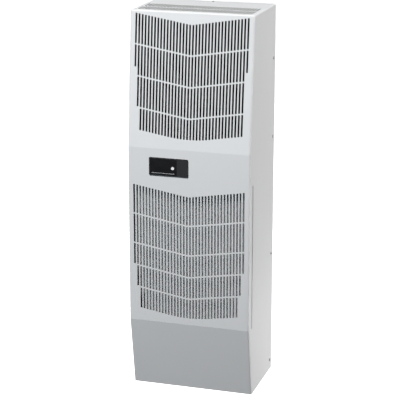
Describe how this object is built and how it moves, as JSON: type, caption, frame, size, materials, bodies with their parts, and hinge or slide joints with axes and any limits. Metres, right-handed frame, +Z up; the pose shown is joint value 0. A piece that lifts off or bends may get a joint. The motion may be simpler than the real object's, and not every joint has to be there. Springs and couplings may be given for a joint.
{
  "type": "enclosure air conditioner",
  "caption": "Tall side-mounted air conditioner for an equipment cabinet, with chevron slot grilles on a three-facet front, a control panel and a filter that slides out of the side.",
  "frame": {"origin": "middle of the mounting holes, on the rear plane where the gasket meets the cabinet wall", "axes": "+Z up, +Y out of the rear towards the cabinet that is cooled, +X to the right seen from the front"},
  "size_m": [0.436, 0.3133, 1.328],
  "materials": {
    "cabinet_paint": "light grey powder coat, fine texture, semi-matt",
    "zinc_screw": "zinc plated",
    "galvanised": "galvanised sheet, faint spangle",
    "foam": "closed-cell foam, matt",
    "rubber": "matt",
    "filter_metal": "expanded mesh",
    "coil_fins": "close-set fins",
    "copper": "bright copper, slightly tarnished",
    "fan_black": "moulded, satin",
    "black_enamel": "black enamel",
    "bezel_black": "moulded, fine texture",
    "window_smoke": "smoked, glossy",
    "key_white": "white, glossy",
    "board_green": "solder mask",
    "can_metal": "drawn can"
  },
  "bodies": {
    "cabinet": {"accumulator": "black_enamel", "base_pan": "galvanised", "blower_motor": "black_enamel", "cable_grommet": "rubber", "capillary_tube": "copper", "compressor": "black_enamel", "compressor_feet": "rubber", "compressor_nuts": "zinc_screw", "compressor_plate": "black_enamel", "condensate_tray": "galvanised", "condenser_bends": "copper", "condenser_fins": "coil_fins", "condenser_plates": "galvanised", "contactor": "bezel_black", "control_bezel": "bezel_black", "control_board": "board_green", "cover_screws": "zinc_screw", "discharge_line": "copper", "display_window": "window_smoke", "drain_hose": "rubber", "drain_spout": "fan_black", "electrical_box": "galvanised", "electrical_lid": "galvanised", "evaporator_bends": "copper", "evaporator_fins": "coil_fins", "evaporator_housing": "galvanised", "evaporator_plates": "galvanised", "fan_bracket": "galvanised", "fan_duct": "galvanised", "fan_motor": "black_enamel", "filter_drier": "copper", "filter_guide_lower": "galvanised", "filter_guide_upper": "galvanised", "front_cover": "cabinet_paint", "housing_liner": "foam", "inlet_ring": "galvanised", "liquid_line": "copper", "mounting_nuts": "zinc_screw", "rear_flange": "galvanised", "rear_gasket": "foam", "rear_panel": "galvanised", "run_capacitor": "can_metal", "suction_elbow": "copper", "suction_line": "copper", "terminal_block": "bezel_black", "terminal_cover": "bezel_black"},
    "air_filter": {"filter_frame": "filter_metal", "filter_mesh": "filter_metal"},
    "condenser_fan": {"condenser_fan": "fan_black"},
    "evaporator_impeller": {"evaporator_impeller": "fan_black", "impeller_shroud": "fan_black"},
    "control_key": {"control_key": "key_white"}
  },
  "joints": [
    {"name": "filter_slide", "type": "slide", "parent": "cabinet", "child": "air_filter", "axis": [1, 0, 0], "range_m": [0, 0.4]},
    {"name": "fan_spin", "type": "hinge", "parent": "cabinet", "child": "condenser_fan", "pos_m": [0, -0.24, 0.3775], "axis": [0, 1, 0], "continuous": true},
    {"name": "impeller_spin", "type": "hinge", "parent": "cabinet", "child": "evaporator_impeller", "pos_m": [0, -0.08, 0.4275], "axis": [0, 1, 0], "continuous": true},
    {"name": "key_press", "type": "slide", "parent": "cabinet", "child": "control_key", "axis": [0, 1, 0], "range_m": [0, 0.0015], "stiffness_N_per_m": 400}
  ]
}
